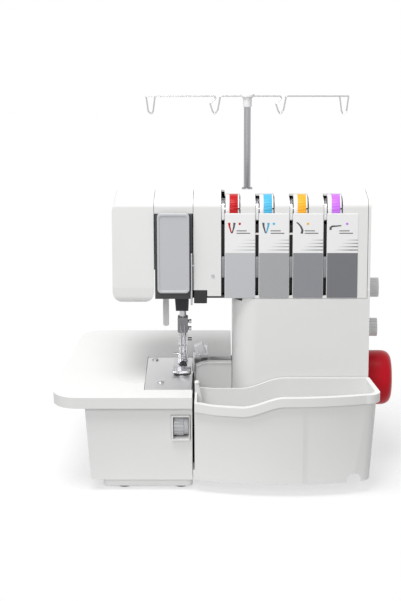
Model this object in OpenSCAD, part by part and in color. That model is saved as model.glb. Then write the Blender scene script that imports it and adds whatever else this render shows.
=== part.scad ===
// Four-thread overlock machine: housings, drive, needle and looper mechanism,
// thread stand, extension table and trim bin. Millimetres, +Z up, +X to the
// operator's right, the operator stands at -Y. The origin is on the floor,
// under the middle of the machine's overall width and depth.

/* [Overall] */
// Overall width, table's left end to handwheel's right end
overall_w = 366; // [362:1:370]
// Overall depth, bin front to spool stand back
overall_d = 302; // [300:1:306]
// Height of the tower's top
body_h = 306; // [304:1:308]
// Height of the extension table's top
bed_z = 107; // [106.5:0.5:108]

/* [Housing] */
// Front of the tower and looper cover
face_y = -78; // [-79:0.5:-77]
// How far the top of the face leans back
face_lean = 5; // [3:1:6]
// Back of the tower
back_y = 50; // [49:1:52]
// Left end of the sewing head
head_left = -120; // [-121:1:-119]
// Left side of the column under the tower
column_x = 7; // [6.8:0.2:7.4]
// Outer face of the right side cover
side_x = 153; // [152.5:0.5:154]
// Underside of the sewing head
head_z = 203; // [202.5:0.5:203.5]
// Wall thickness of the moulded covers
wall = 2.5; // [2:0.25:2.5]

/* [Bin and table] */
// Height of the bin's rim at its low point
bin_low_z = 101; // [99:1:102]
// Height of the bin's rim along its right half
bin_high_z = 113; // [111:1:114]
// Height of the table's rim band
table_rim = 12; // [11:0.5:12]

/* [Threading] */
// Distance between two tension channels
channel_pitch = 35.9; // [35.5:0.1:36]
// Radius of a tension dial
dial_r = 16.8; // [16:0.2:16.8]
// Height of the thread guide bar with the pole drawn out
guide_z = 380.5; // [378:0.5:384]
// Distance of the outer and inner spool pins from the pole
spool_x = [37.5, 109.5]; // [36:0.5:110]

/* [Drive] */
// Height of the main shaft
shaft_z = 91.8; // [91:0.2:92]
// Radius of the handwheel
handwheel_r = 30; // [28:0.5:30]
// Stroke of the needle bar
needle_stroke = 26; // [20:1:26]

/* [Hidden] */
$fn = 48;

big = 400;                          // longer than any part, for cutting
gap = 0.5;                          // seam between two covers
floor_z = 12;                       // bottom of the housings, top of the pan
foot_h = 3;
seam_z = 200.2;                     // seam between tension cover and looper cover
seam_y = -20;                       // seam between front and rear covers
left_x = -overall_w / 2;
right_x = overall_w / 2;
front_y = -overall_d / 2;
rear_y = overall_d / 2;
shaft_y = -15;
side_in = side_x - 2.8;             // inner face of the right side cover
bed_right = -35.5;                  // right end of the left-hand bed
plate_left = -87;                   // needle plate's left edge
window_x = [-76, -34.2];            // opening in the head behind the face plate
slot_x = [for (i = [0:3]) -3 + i * channel_pitch];
slot_w = 3.6;
dial_axis = [-55.8, 291.8];         // y, z of the tension dials' axis
dial_span = [2.6, 17.4];            // a dial's ends, measured from its slot
pole_xy = [24.8, 130];
pin_x = [for (s = [-spool_x[1], -spool_x[0], spool_x[0], spool_x[1]]) pole_xy[0] + s];
pin_y = 128;
tray_z = 48;
needle_x = -46.8;
needle_y = -28;
presser_y = -14;
arm_shaft = [-2, 254];              // y, z of the rocking shaft in the arm
motor_axis = [22, 44];              // y, z of the motor
inlet_y = -30;                      // middle of the power inlet
bar_r = 3.6;
fit = 0.05;                         // radial clearance of a running fit
hinge_yz = [-75, 23];               // looper cover's hinge line
hinge_x = [60, 110];                // its two barrels
hinge_pin_r = 1.25;

// ---- helpers -------------------------------------------------------------

module xprism(x0, x1) { translate([x0, 0, 0]) rotate([90, 0, 90]) linear_extrude(x1 - x0) children(); }
module yprism(y0, y1) { translate([0, y1, 0]) rotate([90, 0, 0]) linear_extrude(y1 - y0) children(); }
module zprism(z0, z1) { translate([0, 0, z0]) linear_extrude(z1 - z0) children(); }
module xcyl(x0, x1, r, y, z) { translate([x0, y, z]) rotate([0, 90, 0]) cylinder(h = x1 - x0, r = r); }
module ycyl(y0, y1, r, x, z) { translate([x, y1, z]) rotate([90, 0, 0]) cylinder(h = y1 - y0, r = r); }
module zcyl(z0, z1, r, x, y) { translate([x, y, z0]) cylinder(h = z1 - z0, r = r); }
module block(x, y, z) { translate([x[0], y[0], z[0]]) cube([x[1] - x[0], y[1] - y[0], z[1] - z[0]]); }
module box2(a, b) { translate([a[0], b[0]]) square([a[1] - a[0], b[1] - b[0]]); }
module round2(r) { offset(r = r, $fn = 32) offset(delta = -r) children(); }

// Side outline of the head and tower, from the back of the face to the rear slope.
module head_side(inset = 0) {
    offset(delta = -inset) round2(8)
        polygon([[face_y, seam_z - 20], [face_y, seam_z], [face_y + face_lean, body_h],
            [seam_y, body_h], [back_y, body_h - 24], [back_y, seam_z - 20]]);
}

// Front half of the head shell between two x positions.
module front_shell(x0, x1, z0) {
    intersection() {
        xprism(x0, x1) difference() { head_side(); head_side(wall); }
        block([x0, x1], [face_y - 2, seam_y - gap / 2], [z0, body_h + 1]);
    }
}

// ---- base ----------------------------------------------------------------

module pan_outline() {
    round2(5) polygon([[-131, -118], [bed_right, -118], [bed_right, -70], [side_in - 1, -70],
        [side_in - 1, back_y - 2], [-131, back_y - 2]]);
}

module base_pan() {
    color("gainsboro") difference() {
        zprism(foot_h, floor_z) pan_outline();
        zprism(foot_h + wall, floor_z + 1) offset(delta = -wall) pan_outline();
    }
}

foot_places = [[-109, -104], [-109, 34], [20, 34], [134, 34], [134, -56], [-48, -104], [-20, -58],
    [-84, 140], [132, 140]];
module feet() {
    color("dimgray") for (i = [0:len(foot_places) - 1])
        zcyl(0, i < 7 ? foot_h : tray_z - 8, 8, foot_places[i][0], foot_places[i][1]);
}

// Left-hand bed under the extension table, drafted towards the floor.
module bed_block(inset) {
    intersection() {
        yprism(-big, big) offset(delta = -inset) round2(5)
            polygon([[-149, 96.5], [-143.5, floor_z], [bed_right + 9, floor_z], [bed_right + 9, 96.5]]);
        xprism(-big, big) offset(delta = -inset)
            polygon([[-125, 96.5], [-122.5, floor_z], [back_y, floor_z], [back_y, 96.5]]);
    }
}

dial_window = [[-58, -37.5], [57.5, 86]];       // x and z of the thumbwheel's opening
module bed_cover() {
    color("whitesmoke") difference() {
        intersection() { bed_block(0); block([-big, bed_right], [-big, big], [0, big]); }
        difference() {
            bed_block(wall);
            block([bed_right - wall, big], [-big, face_y - 2], [0, big]);
        }
        block([-92, big], [-108, 30], [90, 100]);
        block(dial_window[0], [-130, -100], dial_window[1]);
        block([bed_right - 8, big], [face_y + 4, back_y - wall], [0, big]);
        block([-140, big], [-118, back_y - 6], [0, 20]);
    }
}

wheel_axis = [-113, 71.8];                      // y, z of the cutting width dial
module dial_bezel() {
    x = [dial_window[0][0] + 0.3, dial_window[0][1] - 0.6];
    z = [dial_window[1][0] + 0.3, dial_window[1][1] - 0.3];
    color("white") {
        difference() {
            block(x, [-127.5, -97], z);
            block([x[0] + 2, x[1] - 1], [-130, -98.5], [z[0] + 1.5, z[1] - 1.5]);
        }
        xcyl(x[0] + 1, x[1] - 0.4, 2, wheel_axis[0], wheel_axis[1]);
    }
}

module cutting_width_dial() {
    color("silver") difference() {
        union() {
            xcyl(-55.2, -44.5, 12, wheel_axis[0], wheel_axis[1]);
            xcyl(-44.5, -39.6, 11, wheel_axis[0], wheel_axis[1]);
        }
        xcyl(-60, -30, 2 + fit, wheel_axis[0], wheel_axis[1]);
        for (i = [0:17]) translate([0, wheel_axis[0], wheel_axis[1]]) rotate([i * 20, 0, 0])
            xcyl(-54, -46, 0.7, 12.1, 0);
    }
}

// ---- head and tower covers -------------------------------------------------

end_z = head_z - 8;                             // underside of the head's left end
module end_side(inset) {
    offset(delta = -inset) round2(8)
        polygon([[face_y - 1, end_z], [face_y - 1, seam_z + 12], [face_y + face_lean, body_h],
            [seam_y, body_h], [back_y, body_h - 24], [back_y, end_z]]);
}

// The end cover's corners are round, but for the square one at the top seam.
module head_end_cover() {
    color("white") difference() {
        intersection() {
            xprism(head_left, window_x[0]) end_side(0);
            yprism(-big, big) union() {
                round2(13) box2([head_left, window_x[0] + 0.01], [end_z, body_h]);
                box2([head_left + 20, window_x[0] + 0.01], [260, body_h]);
            }
        }
        intersection() {
            xprism(head_left + wall, big) end_side(wall);
            yprism(-big, big) round2(10)
                box2([head_left + wall, window_x[0] + 30], [end_z + wall, body_h - wall]);
        }
    }
}

plate_top = 292;                                // lower edge of the cover over the face plate
module head_top_cover() { color("white") front_shell(window_x[0] + gap, window_x[1] - gap, plate_top); }

module head_front_panel() {
    color("white") difference() {
        front_shell(window_x[1], slot_x[0] - 2, head_z);
        block([-35, -19.6], [-90, -70], [190, 209.5]);
        ycyl(-90, -60, 1.8, -13.6, 224.6);
    }
}

module face_plate() {
    color("darkgray") difference() {
        yprism(face_y - 6, face_y - 2) round2(4) box2([-72.2, -38.4], [207.8, 294]);
        yprism(face_y - 7, face_y - 5.2) round2(3) box2([-69.8, -40.8], [210.2, 291.6]);
    }
}

// Dark inner frame: panel behind the face plate and the head's bottom plate.
inner_z = 199.6;
module head_inner_frame() {
    color("dimgray") difference() {
        union() {
            block([window_x[0] + 1, window_x[1] - 1], [face_y + 1, face_y + 5.1], [inner_z, plate_top - 0.4]);
            block([-66, -60], [face_y - 2, face_y + 1], [240, 260]);
            block([-50, -44], [face_y - 2, face_y + 1], [240, 260]);
            block([window_x[0] + 1, column_x - 1], [face_y + 5, back_y - 4], [inner_z, head_z - 0.5]);
        }
        block([-66, -37.6], [-44, 30], [190, 210]);
        block([-74, -60], [0, 60], [190, 210]);
    }
}

module lamp_housing() {
    color("black") block([-33.8, -20], [face_y + 0.5, face_y + 14], [194.8, 196.3]);
    color("black") block([-33.8, -20], [face_y + 0.5, face_y + 4.8], [196, 209]);
}

module dial_openings() {
    for (s = slot_x) {
        block([s + 1.6, s + 18.4], [-90, -40], [292.3, body_h + 5]);
        xcyl(s + 1.6, s + 18.4, dial_r + 0.5, dial_axis[0], dial_axis[1]);
    }
}

module tension_cover() {
    x0 = slot_x[0] + slot_w / 2;
    color("whitesmoke") difference() {
        front_shell(x0, side_in - gap, seam_z + gap);
        for (i = [1:3]) for (z = i < 3 ? [[seam_z + 3, 269.4], [270.9, body_h + 5]] : [[seam_z + 3, body_h + 5]])
            block([slot_x[i] - slot_w / 2, slot_x[i] + slot_w / 2], [-90, -40], z);
        dial_openings();
    }
}

module channel_liners() {
    color("black") for (s = slot_x) block([s - 3, s + 3], [-69, -66], [head_z + 1, 279]);
}

module rear_cover() {
    color("white") difference() {
        union() {
            intersection() {
                xprism(window_x[0] + gap, side_in - gap) difference() { head_side(); head_side(wall); }
                block([-big, big], [seam_y + gap / 2, big], [head_z, big]);
            }
            // tower's back and left side
            block([column_x, side_in - gap], [back_y - wall, back_y], [floor_z, head_z + 1]);
            block([column_x, column_x + wall], [-36, back_y], [99, head_z]);
            block([column_x, column_x + wall], [back_y - 20, back_y], [94, 100]);
            // bed behind the needle plate
            block([bed_right + gap, column_x], [back_y - wall, back_y], [floor_z, 96.5]);
            block([bed_right + gap, column_x + wall], [6, back_y], [94, 96.5]);
        }
        for (i = [0:7]) block([70 + i * 7, 74 + i * 7], [back_y - 5, back_y + 5], [110, 135]);
    }
}

module right_side_cover() {
    color("white") difference() {
        xprism(side_in, side_x) union() {
            head_side();
            round2(5) box2([-68, back_y], [floor_z, 210]);
            box2([face_y, -50], [seam_z + gap, 210]);
        }
        xcyl(140, 160, 8, shaft_y, shaft_z);
        xcyl(140, 160, 4, shaft_y, 195);
        xcyl(140, 160, 4, shaft_y, 150);
        block([140, 160], [inlet_y - 13, inlet_y + 13], [23, 41]);
        block([140, 160], [14, 36], [45, 57]);
        block([140, 160], [-90, -68.5], [0, seam_z]);            // room for the looper cover's end
    }
}

// ---- frame ---------------------------------------------------------------

module frame_casting() {
    color("slategray") difference() {
        union() {
            block([-128, 144], [-58, 40], [13, 17]);                      // bed plate
            block([-62, -38], [-118, -50], [13, 17]);
            block([-62, -38], [-118, -110], [13, 50]);
            for (x = [14, 98]) block([x, x + 7], [-30, 0], [16, 106]);    // shaft uprights
            block([14, 21], [-3, 30], [16, 285]);
            block([-62.5, 110], [12, 24], [228, 284]);                    // arm
            block([-62.5, -37.8], [-42, 24], [208, 228]);
            block([-54, -37.8], [-22, 12.5], [268, 273]);                 // spring seat
            for (x = [-32, 62]) block([x, x + 7], [-12, 14], [244, 264]);
            yprism(-42, -5) polygon([[-62.5, 209], [-38, 209], [-38, 200], [-40.5, 188], [-40.5, 176],
                [-54, 176], [-55, 190], [-60, 197], [-62.5, 200]]);
            block([-84, -40], [20, 28], [16, 104]);                       // needle plate support
            block([-84, -76], [-98, 28], [96, 104]);
            block([-84, -66], [-100, -72], [96, 104]);
            block([-32, -8], [-10, -6], [16, 68]);                        // looper bracket
            ycyl(-35, -8, 3.05, upper_pivot[0], upper_pivot[1]);
            ycyl(-28, -8, 3.05, lower_pivot[0], lower_pivot[1]);
            xcyl(-70.4, -62, 2.95, lifter_axis[0], lifter_axis[1]);
            for (x = hinge_x) {                                           // looper cover's hinge
                block([x + 9, x + 12], [hinge_yz[0] - 2, -56], [14, hinge_yz[1] + 2.6]);
                xcyl(x - 0.5, x + 9.1, hinge_pin_r, hinge_yz[0], hinge_yz[1]);
            }
        }
        for (y = [needle_y, presser_y]) zcyl(170, 230, 5.5, needle_x, y);
        zcyl(265, 276, 4, needle_x, presser_y);
        xcyl(10, 110, 9, shaft_y, shaft_z);
        xcyl(-40, 80, 8, arm_shaft[0], arm_shaft[1]);
        zcyl(99, 105, 2.05, -78.3, 1.9);
        zcyl(99, 105, 2.05, -70.2, -77.2);
    }
}

module bush(r0, r1, h) { difference() { cylinder(h = h, r = r1); translate([0, 0, -1]) cylinder(h = h + 2, r = r0); } }

module shaft_bushes() {
    color("goldenrod") {
        for (y = [needle_y, presser_y]) {
            translate([needle_x, y, 177]) bush(bar_r + fit, 5.5, 18);
            translate([needle_x, y, 212]) bush(bar_r + fit, 5.5, 14);
        }
        for (x = [14, 98]) translate([x, shaft_y, shaft_z]) rotate([0, 90, 0]) bush(6 + fit, 9, 7);
        for (x = [-32, 62]) translate([x, arm_shaft[0], arm_shaft[1]]) rotate([0, 90, 0]) bush(5 + fit, 8, 7);
    }
}

// ---- sewing area ------------------------------------------------------------

feed_rails = [-54, -40.6];                      // x of the two feed dog rails
module needle_plate() {
    color("silver") difference() {
        zprism(104, 106.4) difference() {
            round2(3) box2([plate_left + 0.4, -36.6], [-103.4, 11]);
            for (x = feed_rails) box2([x - 1.9, x + 1.9], [-52, -7]);
            box2([needle_x - 3.6, needle_x + 3.6], [-31, -25]);
            box2([-38.4, -30], [-49, -37]);
        }
        zcyl(100, 110, 2.2, -78.3, 1.9);
        zcyl(100, 110, 2.2, -70.2, -77.2);
    }
}

module screw_z(x, y, z) { zcyl(z, z + 1.2, 3.6, x, y); zcyl(z - 5, z + 0.1, 2, x, y); }

module housing_screws() {
    color("silver") {
        screw_z(-78.3, 1.9, 106.4);
        screw_z(-70.2, -77.2, 106.4);
        ycyl(-77.4, -66, 1.7, -13.6, 224.6);
        for (p = [[-60, 230], [100, 230], [140, 40], [20, 40], [140, 160]])
            difference() {
                ycyl(back_y, back_y + 1.6, 3, p[0], p[1]);
                ycyl(back_y + 0.8, back_y + 3, 1.2, p[0], p[1]);
            }
        for (p = [[-120, -100], [-120, 38], [120, 38], [120, -60]]) zcyl(1.6, foot_h, 3, p[0], p[1]);
    }
}

module lower_knife() {
    color("silver") block([-38, -35.8], [-48.4, -37.6], [84, 106.3]);
}

module upper_knife() {
    color("silver") {
        block([-35.5, -33.9], [-47, -39], [107.2, 128.5]);
        block([-35.5, -20], [-47, -41.5], [124.5, 128.5]);
        block([-27, -20], [-47, -12], [124.5, 128.5]);
        block([-27, -20], [-20, -12], [66, 128.5]);
        translate([-25, -46.5, 127]) rotate([0, -22, 0]) block([-5.5, 4.5], [0, 8], [0, 13]);
    }
}

module needle_bar() {
    color("silver") {
        zcyl(160, 284, bar_r, needle_x, needle_y);
        difference() {
            block([needle_x - 6, needle_x + 6], [needle_y - 6, needle_y + 4.6], [262, 272]);
            zcyl(261, 273, bar_r, needle_x, needle_y);
        }
        xcyl(-56.6, needle_x - 6, 2.5, needle_y, 267);
    }
}

module needle_clamp() {
    color("silver") difference() {
        union() {
            yprism(needle_y - 6, needle_y + 5.4) round2(1.5) box2([-52.4, -41.2], [148.8, 166]);
            xcyl(-41.2, -37.6, 2.2, needle_y, 152.5);
            xcyl(-41.2, -37.6, 1.7, needle_y, 160.5);
        }
        zcyl(160, 170, bar_r, needle_x, needle_y);
        for (x = [-48.8, -45]) zcyl(140, 158, 0.8, x, needle_y);
    }
}

module needles() {
    color("silver") for (x = [-48.8, -45]) {
        zcyl(136, 158, 0.8, x, needle_y);
        zcyl(115.5, 136, 0.55, x, needle_y);
        translate([x, needle_y, 112]) cylinder(h = 3.5, r1 = 0.1, r2 = 0.55);
    }
}

module needle_drive_lever() {
    y = arm_shaft[0];
    z = arm_shaft[1];
    color("silver") {
        xcyl(-62, 76, 5, y, z);
        difference() {
            translate([0, y, z]) rotate([-27.7, 0, 0]) union() {
                xcyl(-61.6, -57.2, 8, 0, 0);
                block([-61.6, -57.2], [-29, 0], [-3, 3]);
                xcyl(-61.6, -57.2, 4, -28, 0);
            }
            xcyl(-63, -56, 5, y, z);
        }
        difference() {
            union() { xcyl(70, 76, 9, y, z); block([70, 76], [y - 30, y], [z - 4, z + 4]); }
            xcyl(69, 77, 5, y, z);
        }
    }
}

module presser_bar() {
    color("silver") {
        zcyl(130, 276, bar_r - 0.1, needle_x, presser_y);
        difference() {
            block([needle_x - 7, needle_x + 5], [presser_y - 4.8, presser_y + 5.6], [232, 237]);
            zcyl(230, 240, bar_r - 0.1, needle_x, presser_y);
        }
    }
}

module presser_foot() {
    color("silver") {
        difference() {                                          // sole with needle and edge slots
            zprism(107.7, 110.6) round2(1.2) polygon([[-57, -46], [-54, -52], [-42, -52], [-38.4, -47],
                [-38.4, -6], [-57, -6]]);
            zprism(107, 111) box2([needle_x - 4.2, needle_x + 4.2], [-34, -23]);
            zprism(107, 111) box2([-41.6, -30], [-60, -36]);
        }
        yprism(-22, -9) polygon([[-52, 110.6], [-41.6, 110.6], [-42.4, 130], [-51.2, 130]]);
        difference() {                                          // shank on the presser bar
            block([-52, -41.6], [-19.4, -8.6], [130, 142]);
            zcyl(129, 143, bar_r - 0.1, needle_x, presser_y);
        }
        xcyl(-41.6, -37.4, 2, presser_y, 136);
        xcyl(-58, -50, 1.2, presser_y, 119);
    }
}

// A flat-section coil: a 120 degree ring sector, twisted up the bar.
module presser_spring() {
    turns = 7;
    color("silver") translate([needle_x, presser_y, 237.3])
        linear_extrude(30.4, twist = -360 * turns, slices = 9 * turns, segments = 8)
            polygon(concat([for (a = [0:40:120]) 4.4 * [cos(a), sin(a)]],
                [for (a = [120:-40:0]) 5.8 * [cos(a), sin(a)]]));
}

lifter_axis = [20, 214];
module presser_lifter() {
    color("white") difference() {
        union() {
            xcyl(-69.8, -63.2, 7, lifter_axis[0], lifter_axis[1]);
            yprism(lifter_axis[0] - 3, lifter_axis[0] + 1) round2(2.4) box2([-69.8, -63.2], [141.3, 216]);
        }
        xcyl(-72, -60, 3, lifter_axis[0], lifter_axis[1]);
    }
}

module feed_rail(y0, y1) {
    for (x = feed_rails) {
        block([x - 1.2, x + 1.2], [y0, y1], [100, 106.6]);
        for (y = [y0:1.6:y1 - 1.5]) xprism(x - 1.2, x + 1.2) polygon([[y, 106.6], [y + 1.5, 106.6], [y + 0.2, 107.3]]);
    }
}

module main_feed_dog() {
    color("silver") {
        feed_rail(-26.4, -10);
        block([-55.2, -39.4], [-16, -10], [96, 100]);
        block([-51, -44], [-12, 18], [92, 96]);
    }
}

module differential_feed_dog() {
    color("silver") {
        feed_rail(-47.5, -32.5);
        block([-56.5, -39.4], [-47.5, -42], [96, 100]);
        block([-60, -55.8], [-47.5, 18], [96, 100]);
    }
}

upper_pivot = [-16, 60];                        // x, z
lower_pivot = [-24, 40];
module upper_looper() {
    color("silver") {
        difference() {
            ycyl(-34, -29.4, 6, upper_pivot[0], upper_pivot[1]);
            ycyl(-36, -28, 3.1, upper_pivot[0], upper_pivot[1]);
        }
        yprism(-31.6, -29.4) polygon([[-20, 65], [-13, 65.4], [-19, 84], [-26.4, 97], [-29.6, 104],
            [-29, 96], [-23.4, 82]]);
    }
}

module lower_looper() {
    color("silver") {
        difference() {
            ycyl(-27, -22.6, 6, lower_pivot[0], lower_pivot[1]);
            ycyl(-28, -21, 3.1, lower_pivot[0], lower_pivot[1]);
        }
        yprism(-26.9, -25.2) polygon([[-28, 45], [-21, 45.5], [-24, 72], [-29, 88], [-38.4, 93.6],
            [-31, 85], [-28.6, 72]]);
    }
}

// ---- drive -----------------------------------------------------------------

module main_shaft() {
    color("silver") {
        xcyl(-2, 176, 6, shaft_y, shaft_z);
        for (x = [-1.5, 50]) difference() {                     // looper and needle eccentrics
            xcyl(x, x + 7, 13, shaft_y, shaft_z + 5);
            xcyl(x - 1, x + 9, 6, shaft_y, shaft_z);
        }
    }
}

// Handwheel: flat inner face, straight rim, then an elliptical dome to the end.
dome_x = 169;
module handwheel() {
    rim = 16;
    color("crimson") translate([0, shaft_y, shaft_z]) rotate([0, 90, 0]) rotate_extrude($fn = 96) difference() {
        polygon(concat([[6, 156], [handwheel_r, 156]],
            [for (i = [0:rim]) let (a = 90 * i / rim)
                [6 + (handwheel_r - 6) * pow(cos(a), 0.45), dome_x + (right_x - dome_x) * pow(sin(a), 0.8)]]));
        translate([0, 150]) square([11, 14]);
        translate([14, 150]) square([handwheel_r - 17, 16]);
    }
}

module shaft_pulley() {
    color("dimgray") difference() {
        union() {
            xcyl(132, 144, 22, shaft_y, shaft_z);
            for (x = [131, 144]) xcyl(x, x + 1, 24.5, shaft_y, shaft_z);
        }
        xcyl(130, 146, 6, shaft_y, shaft_z);
    }
}

module motor() {
    color("slategray") {
        xcyl(66, 122, 21, motor_axis[0], motor_axis[1]);
        block([72, 116], [motor_axis[0] - 16, motor_axis[0] + 16], [17, 24]);
    }
    color("silver") difference() {
        xcyl(122, 127, 10, motor_axis[0], motor_axis[1]);
        xcyl(121.9, 128, 4.1, motor_axis[0], motor_axis[1]);
    }
}

module motor_pulley() {
    color("dimgray") {
        xcyl(124, 146, 4, motor_axis[0], motor_axis[1]);
        difference() {
            union() {
                xcyl(132, 144, 8, motor_axis[0], motor_axis[1]);
                for (x = [131, 144]) xcyl(x, x + 1, 10.5, motor_axis[0], motor_axis[1]);
            }
            xcyl(130, 147, 4, motor_axis[0], motor_axis[1]);
        }
    }
}

module belt_line(grow) {
    hull() {
        translate([shaft_y, shaft_z]) circle(r = 22 + grow, $fn = 64);
        translate(motor_axis) circle(r = 8 + grow, $fn = 32);
    }
}

module drive_belt() { color("black") xprism(133, 143) difference() { belt_line(2); belt_line(0.5); } }

module circuit_board() {
    color("seagreen") block([24, 60], [10, 11.6], [24, 74]);
    color("black") for (z = [30, 46, 60]) block([26, 40], [4, 10], [z, z + 8]);
}

module inlet_socket() {
    color("black") difference() {
        block([side_in - 12, side_x + 0.8], [inlet_y - 12.7, inlet_y + 12.7], [23.3, 40.7]);
        block([side_in - 9, side_x + 2], [inlet_y - 10, inlet_y + 10], [26, 38]);
    }
    color("silver") for (y = [-6, 0, 6])                         // contact blades
        block([side_in - 9.5, side_in], [inlet_y + y - 1, inlet_y + y + 1], [29, 35]);
}

switch_axis = [150.5, 51];                      // x, z; the rocker turns about Y
module power_switch() {
    color("black") difference() {
        ycyl(15.4, 34.6, 5.4, switch_axis[0], switch_axis[1]);
        block([140, switch_axis[0] - 2], [10, 40], [40, 60]);
    }
}

// ---- tension -----------------------------------------------------------------

module tension_units() {
    color("silver") {
        block([slot_x[0] - 4, slot_x[3] + 26], [-39, -37], [250, 300]);
        for (s = slot_x) {
            xcyl(s - 5, s + 21, 3, dial_axis[0], dial_axis[1]);
            difference() {                                      // ear that holds the stud
                union() {
                    xcyl(s + 19, s + 21, 6, dial_axis[0], dial_axis[1]);
                    block([s + 19, s + 21], [dial_axis[0], -39], [dial_axis[1] - 6, dial_axis[1] + 6]);
                }
                xcyl(s + 18, s + 22, 3, dial_axis[0], dial_axis[1]);
            }
            for (x = [s - 1.4, s + 0.4]) difference() {         // the pair of tension discs
                xcyl(x, x + 1, 10, dial_axis[0], dial_axis[1]);
                xcyl(x - 1, x + 2, 3, dial_axis[0], dial_axis[1]);
            }
        }
    }
}

module tension_dial(i, shade) {
    x0 = slot_x[i] + dial_span[0];
    x1 = slot_x[i] + dial_span[1];
    color("white") difference() {
        union() {
            xcyl(x0, x0 + 4.4, dial_r - 0.4, dial_axis[0], dial_axis[1]);
            xcyl(x1 - 1.8, x1, dial_r - 0.4, dial_axis[0], dial_axis[1]);
        }
        xcyl(x0 - 1, x1 + 1, 3 + fit, dial_axis[0], dial_axis[1]);
    }
    color(shade) difference() {
        xcyl(x0 + 4.4, x1 - 1.8, dial_r, dial_axis[0], dial_axis[1]);
        xcyl(x0 - 1, x1 + 1, 3 + fit, dial_axis[0], dial_axis[1]);
    }
}

// ---- side controls -------------------------------------------------------------

module side_knob(z, r, x1) {
    color("silver") difference() {
        union() {
            xcyl(side_x + 0.6, side_x + 3, r - 2.5, shaft_y, z);
            xcyl(side_x + 3, x1, r, shaft_y, z);
            xcyl(side_x - 10, side_x + 0.6, 3.6, shaft_y, z);
        }
        for (i = [0:15]) translate([0, shaft_y, z]) rotate([i * 22.5, 0, 0])
            xcyl(side_x + 4, x1 - 1.5, 0.8, r + 0.1, 0);
    }
}

module stitch_length_knob() { side_knob(195.2, 10.6, 166.6); }
module differential_knob() { side_knob(149.9, 10, 166); }

// ---- thread stand ----------------------------------------------------------------

module spool_stand() {
    color("white") difference() {
        zprism(tray_z - 8, tray_z) round2(12) box2([-103, 152], [back_y + 2, rear_y]);
        zprism(tray_z - 2, tray_z + 1) round2(10) box2([-100, 149], [back_y + 6, rear_y - 3]);
        for (x = pin_x) zcyl(tray_z - 6, tray_z, 2.5, x, pin_y);
        zcyl(tray_z - 6, tray_z, 5, pole_xy[0], pole_xy[1]);
    }
    color("white") for (x = [-20, 60]) block([x, x + 14], [back_y, back_y + 2], [tray_z - 8, tray_z]);
}

module spool_pins() { color("gainsboro") for (x = pin_x) zcyl(tray_z - 6, 99, 2.5, x, pin_y); }

module spool_cones() {
    color("white") for (x = pin_x) translate([x, pin_y, tray_z - 2]) difference() {
        union() { cylinder(h = 2, r = 13); translate([0, 0, 2]) cylinder(h = 20, r1 = 9, r2 = 5); }
        translate([0, 0, -1]) cylinder(h = 30, r = 2.6);
    }
}

module pole_outer() {
    color("gray") difference() {
        union() {
            zcyl(tray_z - 6, 266, 5, pole_xy[0], pole_xy[1]);
            zcyl(266, 274, 6.2, pole_xy[0], pole_xy[1]);
        }
        zcyl(tray_z - 4, 280, 3.9 + fit, pole_xy[0], pole_xy[1]);
    }
}

module pole_inner() { color("gray") zcyl(150, guide_z - 12, 3.9, pole_xy[0], pole_xy[1]); }

wire_r = 0.9;
module wire_line(p, r) {
    for (i = [0:len(p) - 2]) hull() for (q = [p[i], p[i + 1]]) translate(q) circle(r = r, $fn = 8);
}

// Wire rail with an eye over each spool: pigtails near the pole, closed loops
// at the ends. x and z are measured from the cap; the bar is its own mirror
// image but for the pigtails, which all wind the same way.
inner_eye = [[0, 0], [1.4, -2.4], [-5, -8.8], [-2.2, -17.6], [0.4, -20.6], [3.8, -16], [6.8, 0]];
outer_eye = [[-5.8, 0], [-4.2, -1.2], [-2, -17.7], [0, -20.6], [3.6, -17.7], [5.8, 0], [-5.8, 0]];
module rail(r) {
    for (side = [-1, 1]) {
        translate([side * spool_x[1], 0]) mirror([side < 0 ? 1 : 0, 0]) wire_line(outer_eye, r);
        translate([side * spool_x[0], 0]) wire_line(inner_eye, r);
    }
    wire_line([[-spool_x[1] + 5.8, 0], [-spool_x[0], 0]], r);
    wire_line([[-spool_x[0] + 6.8, 0], [spool_x[0], 0]], r);
    wire_line([[spool_x[0] + 6.8, 0], [spool_x[1] - 5.8, 0]], r);
}

module guide_bar() {
    color("silver") translate([pole_xy[0], pole_xy[1], guide_z]) {
        yprism(-0.55 * wire_r, 0.55 * wire_r) rail(wire_r);
        yprism(-wire_r, wire_r) rail(0.55 * wire_r);
        zcyl(0, 3.2, 8, 0, 0);
        zcyl(-2, 0, 6, 0, 0);
        zcyl(-12, -2, 5, 0, 0);
    }
}

// ---- trim bin ----------------------------------------------------------------------

function ease(t) = let (u = min(1, max(0, t))) u * u * (3 - 2 * u);
function bin_front(x) = front_y + 0.0016 * pow(x - 64, 2);
function rim_z(x) = bin_low_z + 1.2 * ease((-12 - x) / 16) + (bin_high_z - bin_low_z) * ease((x - 16) / 46);

// Plan of the bin: a bowed front, a round right-hand corner and a straight back.
// lean tucks the front and the right end in.
module bin_plan(lean) {
    corner = [149.5 - lean, -127.5 + lean];
    polygon(concat([[-33, bin_back]],
        [for (x = [-33:6:147 - lean]) [x, bin_front(x) + lean]],
        [for (a = [-90:10:0]) corner + 12.5 * [cos(a), sin(a)]],
        [[side_x + 1 - lean * 0.6, bin_back]]));
}

bin_back = face_y - 2.6;
bin_floor = 26;
lip = [9.5, 3];                                 // height and overhang of the rim's lip
module bin_body(inset) {
    hull() {
        zprism(14, 14.1) offset(delta = -inset) bin_plan(9);
        zprism(bin_high_z, bin_high_z + 0.1) offset(delta = -inset) bin_plan(lip[1]);
    }
}

// Everything between the rim's curve, lowered by drop, and top.
module above_rim(drop, top) {
    yprism(-big, big) polygon(concat([[180, top], [-50, top]], [for (x = [-50:4:180]) [x, rim_z(x) - drop]]));
}

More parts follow.
